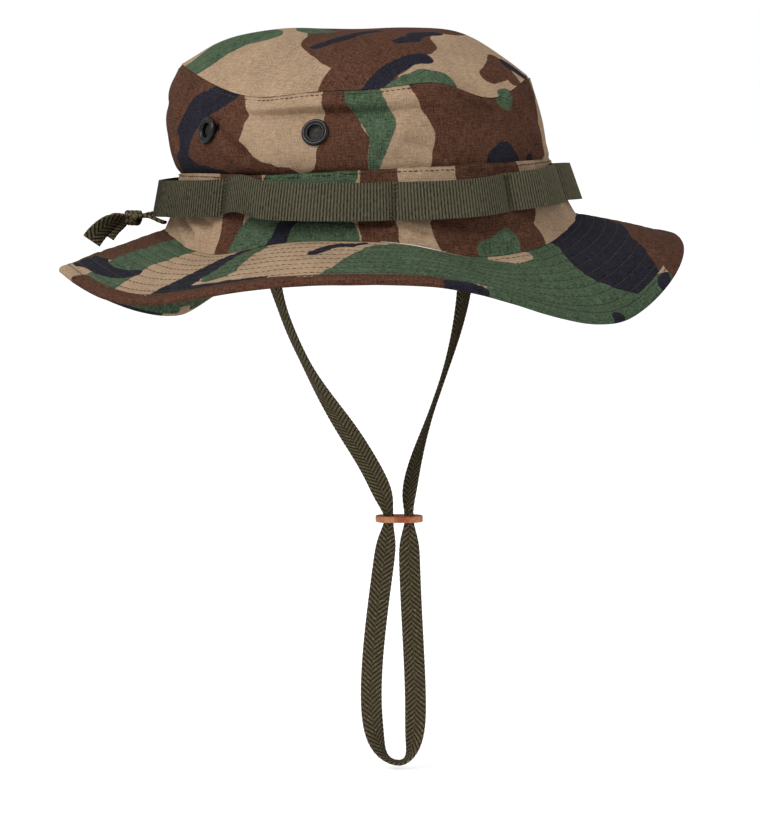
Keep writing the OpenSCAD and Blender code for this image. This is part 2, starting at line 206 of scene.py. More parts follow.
def band(a, v, inset=0.0):
    low, high = JOINT(a), WAIST(a)
    rise = high[..., 1] - low[..., 1]
    r = low[..., 0] + (high[..., 0] - low[..., 0]) * (1 - (1 - v) ** 2) + np.sin(np.pi * v)
    r = r + LEAN * rise * np.cos(np.radians(a)) * (v - v * v)
    gathers = puckers(a, WALL_MID_R, rise * (1 - v), 16) + puckers(a, WALL_MID_R, rise * v, 18)
    gathers = gathers - 1.5 * creases(a, v * BAND_H, BAND_FOLDS) - 0.6 * hump(rise * (1 - v), 0, 1.2)
    p = polar(a, r - inset, low[..., 1] + rise * v)
    return p + polar(a, gathers + 0.5 * ripple(p, 22, 19) * np.sin(np.pi * np.clip(v, 0, 1)), 0)


def wall(a, v, inset=0.0):
    low, high = WAIST(a), RIM(a)
    rise = high[..., 1] - low[..., 1]
    r = low[..., 0] + (high[..., 0] - low[..., 0]) * v ** 4 + WALL_SWELL * np.sin(np.pi * v) * (1 - v)
    r = r - (LEAN * rise * (v - v ** 4) + WALL_SLUMP * np.sin(np.pi * v)) * np.cos(np.radians(a))
    p = polar(a, r - inset, low[..., 1] + rise * v)
    ends = np.sin(np.pi * np.clip(v, 0, 1)) ** 0.5
    away = turn(a, -68)
    fold = hump(v, 0.72 - 0.0012 * away, 0.055) * 3.4 - 1.9 * hump(v, 0.86, 0.07)
    fold = np.exp(-(away / 34) ** 4) * fold
    far_fold = 1.6 * hump(v + 0.004 * turn(a, 120), 0.45, 0.09) * hump(turn(a, 120), 0, 32)
    soft = (0.9 * ripple(p, 34, 3) + 0.5 * ripple(p, 12, 4)) * ends - fold - far_fold
    seams = sum(hump(turn(a, s) * 1.55, 0, 1.4) for s in (SEAM_ANGLE, SEAM_ANGLE + 180))
    side_tuck = 1.6 * hump(turn(a, 40), 0, 22) * np.sin(np.pi * np.clip(v, 0, 1))
    soft = soft - 0.7 * seams - side_tuck - 1.5 * creases(a, v * WALL_FOLD_H, WALL_FOLDS)
    soft = soft - 0.6 * (hump(rise * v, 0, 1.2) + hump(rise * (1 - v), 0, 1.3))
    soft = soft + puckers(a, WALL_MID_R, rise * v, 14) + puckers(a, WALL_MID_R, rise * (1 - v), 15)
    return p + polar(a, soft, 0)


def top(a, rho, inset=0.0):
    rim = RIM(a)
    share = np.clip(1 - rho ** 3.5, 0, 1) ** 1.1
    edge = polar(a, rim[..., 0], rim[..., 1])
    x = TOP_MID_X + (edge[..., 0] - TOP_MID_X) * rho * (1 - inset / 80)
    y = edge[..., 1] * rho * (1 - inset / 80)
    z = edge[..., 2] + (APEX_Z - edge[..., 2]) * share - inset * np.sqrt(share)
    p = np.stack(np.broadcast_arrays(x, y, z), -1)
    soft = (1.3 * ripple(p, 45, 7) + 0.4 * ripple(p, 16, 8)) * smooth((1 - rho) / 0.2)
    p[..., 2] += soft
    return p


def brim(a, s, depth):
    """s runs from 0 at the joint to 1 at the edge; depth is below the upper face."""
    joint, edge = JOINT(a), EDGE(a)
    run = (edge[..., 0] - joint[..., 0]) / PLY_REACH
    fall = (edge[..., 1] - joint[..., 1]) / (PLY_REACH * (1 - BRIM_CURVE + BRIM_CURVE * PLY_REACH))
    slope = np.arctan2(fall * (1 - BRIM_CURVE + 2 * BRIM_CURVE * s), run)
    r = joint[..., 0] + run * s + depth * np.sin(slope)
    z = joint[..., 1] - 0.4 + fall * s * (1 - BRIM_CURVE + BRIM_CURVE * s) - depth * np.cos(slope)
    return polar(a, r, z)


quilt_s = [(QUILT_START + i * QUILT_PITCH) / BRIM_W for i in range(QUILT_ROWS)]


def quilting(a, s, face):
    """How far the brim's face sinks at its rows of stitches, with small puckers along them."""
    p = polar(a, 60 + s * BRIM_W, 0.0 * s)
    sink = 0.0
    for i, row in enumerate(quilt_s):
        pucker = 0.75 + 0.3 * ripple(p, 5, 20 + i + 50 * face, 8)
        sink = sink + 0.42 * hump(s * BRIM_W, row * BRIM_W, 0.9) * pucker
    bulge = 0.16 * ripple(p, 14, 11 + face)
    return sink + bulge


def brim_top(a, s):
    return brim(a, s, quilting(a, s, 0))


def brim_under(a, s):
    return brim(a, s, BRIM_T - quilting(a, s, 1))


# ---- meshes ----

def make_object(name, points, faces, body="hat"):
    mesh = bpy.data.meshes.new(name)
    mesh.from_pydata((points.reshape(-1, 3) * MM).tolist(), [], faces)
    mesh.polygons.foreach_set("use_smooth", np.ones(len(mesh.polygons), bool))
    mesh.set_sharp_from_angle(angle=math.radians(50))
    obj = bpy.data.objects.new(name, mesh)
    bpy.context.scene.collection.objects.link(obj)
    if body:
        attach(obj, body)
    return obj


def grid_faces(nu, nv, wrap_u, wrap_v, offset=0):
    index = np.arange(nu * nv).reshape(nu, nv) + offset
    iu = np.arange(nu if wrap_u else nu - 1)
    iv = np.arange(nv if wrap_v else nv - 1)
    u, v = np.meshgrid(iu, iv, indexing="ij")
    un, vn = (u + 1) % nu, (v + 1) % nv
    quads = np.stack([index[u, v], index[un, v], index[un, vn], index[u, vn]], -1)
    return quads.reshape(-1, 4).tolist()


def shell(name, outer, inner, wrap=True, body="hat"):
    """A cloth panel with thickness: outer and inner are grids with the same rows."""
    loops = np.concatenate([outer, inner[:, ::-1]], 1)
    nu, k = loops.shape[:2]
    faces = grid_faces(nu, k, wrap, True)
    if not wrap:
        last = (nu - 1) * k
        for i in range(k // 2 - 1):
            cap = [i, i + 1, k - 2 - i, k - 1 - i]
            faces.append(cap)
            faces.append([last + c for c in reversed(cap)])
    return make_object(name, loops, faces, body)


def set_field(obj, name, values):
    """A number, or three, at every corner of a mesh."""
    kind = "FLOAT_VECTOR" if values.ndim == 2 else "FLOAT"
    attribute = obj.data.attributes.new(name, kind, "POINT")
    attribute.data.foreach_set("vector" if values.ndim == 2 else "value", values.astype(np.float32).ravel())


def stitches(name, lines, length=2.5, gap=0.7, radius=THREAD_R, body="hat"):
    """Rows of separate thread stitches. Each line is (points, outward directions, closed)."""
    ring = np.arange(6) * np.pi / 3
    along = np.array([0, 0.12, 0.5, 0.88, 1])
    thick = np.array([0.35, 0.85, 1.0, 0.85, 0.35])
    lift = np.array([-0.9, -0.1, 0.35, -0.1, -0.9]) * radius
    points, faces, count = [], [], 0
    for line, out, closed in lines:
        if closed:
            line, out = np.vstack([line, line[:1]]), np.vstack([out, out[:1]])
        walked = np.concatenate([[0], np.cumsum(np.linalg.norm(np.diff(line, axis=0), axis=1))])
        n = max(1, int(walked[-1] / (length + gap)))
        pitch = walked[-1] / n
        at = (np.arange(n)[:, None] + along[None] * length / (length + gap)) * pitch
        centre = np.stack([np.interp(at, walked, line[:, i]) for i in range(3)], -1)
        up = np.stack([np.interp(at, walked, out[:, i]) for i in range(3)], -1)
        up /= np.linalg.norm(up, axis=-1, keepdims=True)
        ahead = centre[:, -1:] - centre[:, :1]
        ahead = ahead / np.linalg.norm(ahead, axis=-1, keepdims=True)
        side = np.cross(up, np.broadcast_to(ahead, up.shape))
        centre = centre + up * lift[None, :, None]
        body_points = (centre[:, :, None] + radius * thick[None, :, None, None] * (
            np.cos(ring)[None, None, :, None] * side[:, :, None]
            + np.sin(ring)[None, None, :, None] * up[:, :, None]))
        points.append(body_points.reshape(-1, 3))
        one = np.array(grid_faces(len(along), 6, False, True))
        caps = [[5, 4, 3, 2, 1, 0], [24 + i for i in range(6)]]
        for i in range(n):
            base = count + i * 30
            faces += (one[:, ::-1] + base).tolist()
            faces += [[base + c for c in cap] for cap in caps]
        count += n * 30
    return make_object(name, np.vstack(points), faces, body)


def row_on(surface, a, v, out):
    """A closed stitch line on a surface at share v."""
    return surface(a, np.full_like(a, v)), out(a), True


# ---- camouflage, laid out on each panel in millimetres ----

def warp(p, seed):
    push = np.stack([ripple(p, 17, seed), ripple(p, 17, seed + 1)], -1) * 1.5
    return p + push + np.stack([ripple(p, 6, seed + 2), ripple(p, 6, seed + 3)], -1) * 0.35


def patch(p, spine):
    """Distance inside a patch whose spine is a list of (x, y, radius)."""
    best = np.full(len(p), -1e3)
    nodes = [np.array(n, float) for n in spine]
    for a, b in zip(nodes, nodes[1:] or nodes):
        ab = b[:2] - a[:2]
        t = np.clip(((p - a[:2]) @ ab) / max(ab @ ab, 1e-6), 0, 1)
        d = np.linalg.norm(p - a[:2] - t[:, None] * ab, axis=1)
        best = np.maximum(best, a[2] + (b[2] - a[2]) * t - d)
    return best


def stray_patches(low, high, seed, count):
    """Patches strewn over the parts of a panel that the placed ones leave free, in the same style."""
    rng = np.random.default_rng(seed)
    made = {"brown": [], "green": [], "navy": []}
    for i in range(count):
        colour = ("brown", "green", "brown", "navy", "green", "brown", "navy")[i % 7]
        size = {"brown": 15, "green": 11, "navy": 6}[colour] * rng.uniform(0.75, 1.2)
        x, y = rng.uniform(low, high)
        heading = rng.uniform(-1.3, 1.3)
        spine = []
        for k in range(rng.integers(3, 6)):
            spine.append((x, y, size * rng.uniform(0.5, 1.0)))
            heading += rng.uniform(-0.8, 0.8)
            x += size * 1.3 * math.cos(heading)
            y += size * 1.3 * math.sin(heading)
        made[colour].append(spine)
    return made


def together(*layouts):
    return {c: sum((layout.get(c, []) for layout in layouts), []) for c in ("tan", "brown", "green", "navy")}


# Each patch is a row of (x, y, half-width). On the crown's wall and band and on the brim, x runs round the
# hat from its front and y up or outwards. On the top, x runs VIEW_TURN to the left of forwards and y to its
# right.
WALL_PATCHES = {
    "tan": [[(-131, 40, 20), (-131, 27, 20), (-124, 18, 14), (-118, 9, 9)], [(34, 10, 7), (36, 20, 6)]],
    "brown": [[(-232, 20, 30), (-178, 20, 28)], [(-160, 3, 14), (-146, 0, 13), (-118, -5, 10)],
              [(-104, 40, 8), (-101, 30, 8), (-97, 20, 9), (-97, 10, 12), (-98, -2, 14)],
              [(-44, 42, 20), (-34, 22, 18), (-36, -2, 18)], [(-18, 20, 23), (10, 20, 24)], [(34, 36, 9)]],
    "green": [[(-88, 41, 9), (-84, 30, 8), (-81, 20, 6), (-81, 10, 4), (-81, -3, 3)], [(-3, 37, 6)]],
    "navy": [[(-168, 41, 7), (-178, 31, 5), (-189, 22, 7), (-197, 12, 7)],
             [(-202, 1, 6), (-190, 1, 5), (-166, -3, 5)],
             [(-21, 2, 6), (-14, 5, 6), (-8, 1, 4)], [(8, 1, 3)]],
}
BAND_PATCHES = {
    "tan": [[(-66, 10, 6), (-61, -2, 6)], [(8, 6, 9), (24, 8, 9)], [(4, 37, 7)]],
    "brown": [[(-156, 35, 14), (-157, 18, 7), (-157, 0, 6)], [(-80, 37, 10), (-80, -2, 8)],
              [(-24, 33, 19), (-12, 18, 12)], [(-51, 4, 11), (-26, 13, 14), (-12, 2, 9)], [(27, 9, 2)]],
    "green": [[(-130, 32, 11), (-104, 32, 13)], [(-141, 4, 13), (-106, 3, 17)], [(-33, 1, 7), (-25, 3, 8)]],
    "navy": [[(-122, 12, 4), (-128, -3, 5)]],
}
BRIM_PATCHES = {
    "tan": [[(-47, 3, 3), (-36, 5, 4), (-27, 3, 4)]],
    "brown": [[(-360, 22, 36), (-322, 20, 34), (-303, 16, 26)],
              [(60, 52, 16)], [(84, 20, 32), (78, 48, 30)], [(47, 45, 9), (38, 32, 3)]],
    "green": [[(-128, 46, 13), (-104, 26, 25), (-60, 26, 28), (-20, 28, 28), (16, 48, 14)],
              [(-192, 6, 8), (-193, 32, 8)], [(-266, 1, 16), (-268, 24, 15), (-258, 50, 12)],
              [(-30, 4, 10), (-4, 3, 9)], [(30, 50, 10)]],
    "navy": [[(-149, 19, 4), (-143, 11, 4), (-123, 2, 2)], [(-164, 46, 2), (-184, 47, 4), (-205, 48, 8)],
             [(-203, 5, 6), (-208, 28, 8), (-212, 50, 9)],
             [(-296, 42, 5), (-283, 39, 6), (-268, 39, 5), (-252, 34, 3)],
             [(-385, 44, 10), (-345, 48, 10), (-308, 52, 7)],
             [(34, 3, 40), (27, 18, 29), (28, 30, 19), (29, 38, 12)], [(34, 50, 3)], [(-5, 52, 4)]],
}
BINDING_PATCHES = {
    "brown": [[(-262, 10, 14), (-97, 10, 14)], [(55, 10, 16), (125, 10, 14)], [(215, 10, 14), (290, 10, 14)]],
    "green": [[(-62, 10, 14), (26, 10, 14)], [(160, 10, 14), (190, 10, 14)]],
    "navy": [[(-385, 10, 12), (-330, 10, 12)], [(-82, 10, 8)], [(-5, 8, 4)], [(34, 6, 5)], [(330, 10, 16)]],
}
TOP_PATCHES = {
    "tan": [],
    "brown": [[(0, 10, 30), (0, 35, 30), (5, 50, 20)], [(0, 65, 15), (-10, 75, 15)],
              [(55, 40, 4), (60, 25, 6), (65, 30, 5)]],
    "green": [[(-85, 15, 10), (-70, 10, 10), (-50, 10, 10)], [(-25, 5, 10)],
              [(10, 75, 4), (20, 70, 4), (35, 65, 5)], [(65, 45, 5)]],
    "navy": [[(-25, 40, 2), (-10, 35, 4), (5, 25, 4)], [(10, 45, 2), (20, 35, 3), (30, 15, 4)],
             [(0, 75, 4), (10, 65, 4), (25, 55, 4)], [(65, 20, 4), (75, 15, 4)]],
}


def camouflage(obj, flat, placed, seed, weave=None):
    """Stores at each corner how far inside each colour's patches it is, and its place on the weave."""
    weave = flat if weave is None else weave
    p = warp(flat, seed)
    for colour in ("brown", "green", "navy"):
        inside = np.full(len(p), -50.0)
        for spine in placed.get(colour, []):
            inside = np.maximum(inside, patch(p, spine))
        for spine in placed.get("tan", []):
            inside = np.minimum(inside, -patch(p, spine))
        set_field(obj, colour, inside)
    set_field(obj, "cloth", np.column_stack([weave, np.zeros(len(weave))]))


# ---- materials ----

def srgb(r, g, b):
    """Linear colour from the usual 0 to 255 screen values."""
    c = np.array([r, g, b]) / 255
    return tuple(np.where(c <= 0.04045, c / 12.92, ((c + 0.055) / 1.055) ** 2.4)) + (1.0,)


TAN = srgb(168, 142, 116)
BROWN = srgb(86, 57, 44)
GREEN = srgb(74, 91, 70)
NAVY = srgb(38, 37, 46)
OLIVE_WEB = srgb(83, 79, 63)
OLIVE_CORD = srgb(84, 76, 56)
OLIVE_THREAD = srgb(70, 64, 48)


WEB_RIB = 1.5                             # pitch of the webbing's ribs
BRAID_PITCH, BRAID_ACROSS = 2.4, 2.7      # the braid's herringbone, along and across


class Shader:
    """A short way to write a node material."""

    def __init__(self, name, roughness):
        self.material = bpy.data.materials.new(name)
        self.material.use_nodes = True
        self.tree = self.material.node_tree
        self.main = self.tree.nodes["Principled BSDF"]
        self.main.inputs["Roughness"].default_value = roughness
        self.main.inputs["Specular IOR Level"].default_value = 0.08

    def put(self, value, socket):
        if isinstance(value, bpy.types.NodeSocket):
            self.tree.links.new(value, socket)
        else:
            socket.default_value = value

    def node(self, kind, inputs=(), out=0, **settings):
        made = self.tree.nodes.new(kind)
        for key, value in settings.items():
            setattr(made, key, value)
        for key, value in dict(inputs).items():
            self.put(value, made.inputs[key])
        return made.outputs[out]

    def field(self, name, vector=False):
        return self.node("ShaderNodeAttribute", attribute_name=name, out="Vector" if vector else "Fac")

    def math(self, operation, a, b=0.0):
        return self.node("ShaderNodeMath", {0: a, 1: b}, operation=operation)

    def add(self, a, b):
        return self.math("ADD", a, b)

    def times(self, a, b):
        return self.math("MULTIPLY", a, b)

    def split(self, vector):
        """The vector's first two parts."""
        return [self.node("ShaderNodeSeparateXYZ", {0: vector}, out=i) for i in (0, 1)]

    def scale(self, vector, by):
        return self.node("ShaderNodeVectorMath", {0: vector, 1: by}, operation="MULTIPLY")

    def mix(self, share, a, b):
        made = self.tree.nodes.new("ShaderNodeMix")
        made.data_type = "RGBA"
        self.put(share, made.inputs[0])
        self.put(a, made.inputs[6])
        self.put(b, made.inputs[7])
        return made.outputs[2]

    def shade(self, colour, by):
        """Colour times a number."""
        grey = self.node("ShaderNodeCombineColor", {0: by, 1: by, 2: by})
        made = self.tree.nodes.new("ShaderNodeMix")
        made.data_type, made.blend_type = "RGBA", "MULTIPLY"
        made.inputs[0].default_value = 1
        self.put(colour, made.inputs[6])
        self.put(grey, made.inputs[7])
        return made.outputs[2]

    def noise(self, where, scale, detail=2.0, rough=0.5):
        return self.node("ShaderNodeTexNoise", {"Vector": where, "Scale": scale, "Detail": detail,
                                                "Roughness": rough})

    def ramp(self, value, low, high, to_low=0.0, to_high=1.0):
        return self.node("ShaderNodeMapRange", {"Value": value, "From Min": low, "From Max": high,
                                                "To Min": to_low, "To Max": to_high},
                         interpolation_type="SMOOTHSTEP")

    def finish(self, colour, height=None, distance=0.0003, strength=1.0):
        self.put(colour, self.main.inputs["Base Color"])
        if height is not None:
            bump = self.node("ShaderNodeBump", {"Height": height, "Distance": distance, "Strength": strength})
            self.put(bump, self.main.inputs["Normal"])
        return self.material


def ripstop(s, where):
    """Height and tone of ripstop cloth: a fine plain weave with a thicker thread every few millimetres."""
    x, y = s.split(where)
    weave_pitch, grid_pitch = 0.55, 5.2
    sin_x = s.math("SINE", s.times(x, 2 * math.pi / weave_pitch))
    sin_y = s.math("SINE", s.times(y, 2 * math.pi / weave_pitch))
    weave = s.times(sin_x, sin_y)
    lines = []
    for axis in (x, y):
        wave = s.math("COSINE", s.times(axis, 2 * math.pi / grid_pitch))
        lines.append(s.ramp(wave, 0.965, 1.0))
    grid = s.math("MAXIMUM", lines[0], lines[1])
    height = s.add(s.times(weave, 0.35), s.times(grid, 1.2))
    slub_x = s.noise(s.scale(where, (0.22, 1.9, 1)), 1.0)
    slub_y = s.noise(s.scale(where, (1.9, 0.22, 1)), 1.0)
    slub = s.add(slub_x, slub_y)
    return height, grid, slub


def camo_material(name):
    s = Shader(name, 0.92)
    where = s.field("cloth", vector=True)
    rough_edge = s.times(s.math("SUBTRACT", s.noise(where, 0.6, 3.0), 0.5), 0.8)
    colour = TAN
    for field, paint in (("brown", BROWN), ("green", GREEN), ("navy", NAVY)):
        inside = s.add(s.field(field), rough_edge)
        colour = s.mix(s.ramp(inside, -0.22, 0.22), colour, paint)
    height, grid, slub = ripstop(s, where)
    cloudy = s.noise(where, 0.045, 3.0)
    fluff = s.noise(where, 1.1, 2.0, 0.7)
    dark = s.math("MAXIMUM", s.math("MAXIMUM", s.field("brown"), s.field("green")), s.field("navy"))
    depth = s.ramp(dark, -0.3, 0.3, 0.45, 1.0)
    threads = s.add(s.ramp(slub, 0.65, 1.35, -0.46, 0.46), s.ramp(fluff, 0.3, 0.7, -0.33, 0.33))
    tone = s.add(s.ramp(cloudy, 0.3, 0.7, 0.9, 1.08), s.times(threads, depth))
    tone = s.add(tone, s.times(grid, 0.12))
    return s.finish(s.shade(colour, tone), height, 0.00012, 0.7)


def webbing_material():
    s = Shader("webbing", 0.85)
    where = s.field("cloth", vector=True)
    along, across = s.split(where)
    rib = s.math("SINE", s.times(along, 2 * math.pi / WEB_RIB))
    yarn = s.math("SINE", s.times(across, 2 * math.pi / 0.5))
    fibre = s.noise(s.scale(where, (2.5, 0.5, 1)), 1.0, 3.0)
    # The ribs' tone runs from dark between the ribs to light on their tops: painted shade in the gaps and
    # painted highlight on the ribs, added to the bump's own shading.
    tone = s.add(s.ramp(rib, -1.0, 1.0, 0.4, 1.42), s.ramp(fibre, 0.3, 0.7, -0.35, 0.35))
    tone = s.add(tone, s.ramp(s.noise(where, 0.05), 0.3, 0.7, -0.06, 0.06))
    height = s.add(s.times(yarn, 0.5), fibre)
    return s.finish(s.shade(OLIVE_WEB, tone), height, 0.0001, 0.8)


def braid_material(name, colour):
    s = Shader(name, 0.8)
    where = s.field("cloth", vector=True)
    along, across = s.split(where)
    half = s.times(s.math("GREATER_THAN", across, 0.0), 0.5)
    sideways = s.math("DIVIDE", s.math("ABSOLUTE", across), BRAID_ACROSS)
    phase = s.add(s.add(s.math("DIVIDE", along, BRAID_PITCH), sideways), half)
    strand = s.math("ABSOLUTE", s.math("SINE", s.times(phase, math.pi)))
    fibre = s.noise(s.scale(where, (2.2, 2.2, 1)), 1.0, 3.0)
    pale = s.ramp(s.noise(where, 0.9, 3.0), 0.5, 0.72)
    mixed = s.mix(s.times(pale, 0.55), colour, srgb(142, 134, 110))
    # The strands' tone runs from dark between the strands to light on them: painted shade in the gaps of the
    # herringbone and painted highlight on the strands, added to the bump's own shading.
    tone = s.add(s.ramp(strand, 0.1, 0.9, 0.2, 1.28), s.ramp(fibre, 0.3, 0.7, -0.2, 0.2))
    height = s.add(s.times(strand, 3.0), fibre)
    return s.finish(s.shade(mixed, tone), height, 0.0002, 0.9)


def thread_material():
    s = Shader("thread", 0.6)
    where = s.node("ShaderNodeTexCoord", out="Object")
    twist = s.noise(s.scale(where, (1, 1, 1)), 2500.0, 2.0)
    return s.finish(s.shade(OLIVE_THREAD, s.ramp(twist, 0.3, 0.7, 0.75, 1.2)), twist, 0.00005)


def metal_material(name, colour, roughness):
    s = Shader(name, roughness)
    where = s.node("ShaderNodeTexCoord", out="Object")
    speckle = s.noise(where, 900.0, 4.0)
    wear = s.ramp(s.noise(where, 260.0, 5.0), 0.62, 0.74)
    s.put(s.ramp(speckle, 0.3, 0.7, roughness - 0.08, roughness + 0.12), s.main.inputs["Roughness"])
    s.main.inputs["Metallic"].default_value = 0.3
    s.main.inputs["Specular IOR Level"].default_value = 0.5
    mixed = s.mix(s.times(wear, 0.5), colour, srgb(84, 82, 80))
    return s.finish(mixed, speckle, 0.00004)


def leather_material():
    s = Shader("leather", 0.7)
    where = s.node("ShaderNodeTexCoord", out="Object")
    grain = s.noise(where, 1400.0, 4.0, 0.65)
    cloud = s.noise(where, 220.0, 3.0)
    cells = s.node("ShaderNodeTexVoronoi", {"Vector": where, "Scale": 1500.0})
    colour = s.mix(s.ramp(cloud, 0.35, 0.65), srgb(176, 98, 66), srgb(216, 148, 112))
    colour = s.shade(colour, s.ramp(grain, 0.3, 0.7, 0.84, 1.12))
    return s.finish(colour, s.add(grain, cells), 0.00012)


def plain_cloth_material(name, colour, pitch=0.8):
    s = Shader(name, 0.9)
    where = s.field("cloth", vector=True)
    x, y = s.split(where)
    twill = s.math("SINE", s.times(s.add(x, y), 2 * math.pi / pitch))
    slub = s.noise(s.scale(where, (0.4, 3, 1)), 1.0, 3.0)
    tone = s.add(s.ramp(twill, -1, 1, 0.9, 1.06), s.ramp(slub, 0.3, 0.7, -0.1, 0.1))
    return s.finish(s.shade(colour, tone), s.add(twill, slub), 0.0001)


def dress(obj, material, slot_name, *nodes):
    obj.data.materials.append(material)
    if nodes:
        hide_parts(*nodes)
    return obj


camo = camo_material("camo_cloth")
webbing = webbing_material()
braid = braid_material("braid", OLIVE_CORD)
thread = thread_material()
black_paint = metal_material("black_paint", srgb(18, 18, 19), 0.3)
dark_wire = metal_material("dark_wire", srgb(46, 45, 43), 0.5)
leather = leather_material()
sweat_cloth = plain_cloth_material("sweatband_cloth", srgb(84, 82, 62))
tape_cloth = plain_cloth_material("tape_cloth", srgb(90, 88, 66))
felt = plain_cloth_material("stiffener_felt", srgb(206, 202, 190), 1.4)


# ---- crown ----

CLOTH_T = 0.8
VENT_HOLE_R = 4.6


def panel(name, surface, start, rows, height, node, placed, seed):
    """Half of the crown's wall or band, from one upright seam to the other."""
    columns = 480
    a = np.linspace(start + 0.06, start + 179.94, columns)[:, None]
    v = np.linspace(0, 1, rows)[None]
    outer = surface(a, v)
    inner = outer - polar(a, CLOTH_T, 0.0 * v)
    obj = shell(name, outer, inner, wrap=False)
    place = np.stack(np.broadcast_arrays(np.radians(a) * WALL_MID_R, v * height), -1)
    camouflage(obj, np.concatenate([place, place[:, ::-1]], 1).reshape(-1, 2), placed, seed)
    return dress(obj, camo, "camo_cloth", node)


def cut_round_hole(obj, centre, axis, radius):
    """Takes away the faces of a panel that lie inside a cylinder."""
    axis, centre = Vector(axis.tolist()), Vector(centre.tolist())
    mesh = bmesh.new()
    mesh.from_mesh(obj.data)
    inside = []
    for face in mesh.faces:
        away = face.calc_center_median() / MM - centre
        if abs(away.dot(axis)) < 10 and (away - axis * away.dot(axis)).length < radius:
            inside.append(face)
    bmesh.ops.delete(mesh, geom=inside, context="FACES")
    mesh.to_mesh(obj.data)
    mesh.free()


def vent_places():
    """Centre on the wall, outward axis and angle of each vent."""
    angle, r, z = node_corners("vent_washers")
    order = np.argsort(angle)
    found = []
    for group in np.split(order, np.flatnonzero(np.diff(angle[order]) > 10) + 1):
        a, height = float(angle[group].mean()), float(z[group].max() + z[group].min()) / 2
        low, high = float(WAIST(a)[1]), float(RIM(a)[1])
        shares = [np.array([(height + rise - low) / (high - low)]) for rise in (0, -4, 4)]
        here, below, above = (wall(np.array([a]), share)[0] for share in shares)
        lean = math.atan2(math.hypot(*below[:2]) - math.hypot(*above[:2]), above[2] - below[2])
        axis = polar(a, math.cos(lean), math.sin(lean))
        found.append((here, axis, a))
    return found


WALL_H = RIM_Z - float(WAIST(-55)[1])
wall_camo = together(WALL_PATCHES, stray_patches((58, 0), (305, WALL_H), 5, 22))
band_camo = together(BAND_PATCHES, stray_patches((50, 0), (305, BAND_H), 6, 22))
top_camo = together(TOP_PATCHES, stray_patches((-75, -75), (75, -20), 9, 14))
brim_camo = together(BRIM_PATCHES, stray_patches((128, 0), (385, BRIM_W), 12, 28))
under_camo = together({"green": [[(-393, 40, 14), (-310, 38, 14)], [(310, 38, 14), (393, 40, 14)]]},
                      stray_patches((-300, 0), (300, BRIM_W), 13, 44))

for side, start in (("right", SEAM_ANGLE - 180), ("left", SEAM_ANGLE)):
    panel("crown_wall_" + side + "_cloth", wall, start, 48, WALL_H, "crown_wall_" + side, wall_camo, 31)
    panel("crown_band_" + side + "_cloth", band, start, 34, BAND_H, "crown_band_" + side, band_camo, 41)
for centre, axis, a in vent_places():
    side = "right" if a < SEAM_ANGLE else "left"
    cut_round_hole(bpy.data.objects["crown_wall_" + side + "_cloth"], centre, axis, VENT_HOLE_R)

a = np.arange(0, 360, 0.75)[:, None]
rho = np.linspace(0.004, 1, 90)[None]
outer, inner = top(a, rho), top(a, rho, CLOTH_T)
crown_top = shell("crown_top_cloth", outer[:, ::-1], inner[:, ::-1])
plan = np.concatenate([outer[:, ::-1], inner], 1)[..., :2].reshape(-1, 2)
view_c, view_s = math.cos(math.radians(VIEW_TURN)), math.sin(math.radians(VIEW_TURN))
turned = plan @ np.array([[view_c, view_s], [view_s, -view_c]])
camouflage(crown_top, turned, top_camo, 51, weave=plan)
dress(crown_top, camo, "camo_cloth", "crown_top")


# ---- brim ----

a = np.arange(-180, 180, 0.4)[:, None]
s = np.linspace(-0.03, 0.99, 96)[None]


def unrolled(a, s):
    """Place on the brim laid out flat: round the hat, then outwards."""
    return np.stack(np.broadcast_arrays(np.radians(a) * BRIM_MID_R, s * BRIM_W), -1)


def brim_piece(name, upper, lower, node, placed, seed):
    obj = shell(name, lower, upper)
    loops = np.concatenate([lower, upper[:, ::-1]], 1)
    flat = unrolled(a, np.concatenate([s, s[:, ::-1]], 1)).reshape(-1, 2)
    camouflage(obj, flat, placed, seed, weave=loops[..., :2].reshape(-1, 2))
    return dress(obj, camo, "camo_cloth", node)


ply_t = 0.6
brim_piece("brim_upper_cloth", brim_top(a, s), brim(a, s, quilting(a, s, 0) + ply_t), "brim_upper_ply",
           brim_camo, 61)
lower_top = brim(a, s, BRIM_T - ply_t - quilting(a, s, 1))
brim_piece("brim_lower_cloth", lower_top, brim_under(a, s), "brim_lower_ply", under_camo, 71)
s_mid = np.linspace(-0.02, 0.96, 20)[None]
stiff_top = brim(a, s_mid, 1.1 + 0.0 * s_mid)
stiff_low = brim(a, s_mid, 1.9 + 0.0 * s_mid)
stiffener = shell("brim_stiffener_felt", stiff_low, stiff_top)
set_field(stiffener, "cloth", np.concatenate([stiff_low, stiff_top[:, ::-1]], 1).reshape(-1, 3))
dress(stiffener, felt, "stiffener_felt", "brim_stiffener")

# Binding: a strip folded round the edge. turn_round runs from the upper side to the under side.
bind_in = 1 - BIND_W / BRIM_W
fold_t = 0.5
turn_round = np.linspace(0, 1, 40)[None]
half_t = BRIM_T / 2 - 0.3


def binding_section(a, t, out):
    """t runs along the strip's section: over the top, round the edge, back underneath."""
    flat_share = 0.4
    s_in = np.interp(t, [0, flat_share, 1 - flat_share, 1], [bind_in, 0.99, 0.99, bind_in])
    round_t = np.clip((t - flat_share) / (1 - 2 * flat_share), 0, 1) * np.pi
    reach = (half_t + out) * np.sin(round_t) / BRIM_W
    depth = half_t - (half_t + out) * np.cos(round_t)
    soft = 0.13 * ripple(polar(a, 60 + 0 * t, 0 * t + 30 * t), 5, 17, 10)
    edge_tuck = 0.35 * (hump(t, 0, 0.05) + hump(t, 1, 0.05))
    stitch_sink = 0.3 * (hump(t, 0.13, 0.05) + hump(t, 0.87, 0.05))
    push = soft - edge_tuck - stitch_sink
    return brim(a, s_in + reach, depth + push * np.where(depth < half_t, -1, 1))


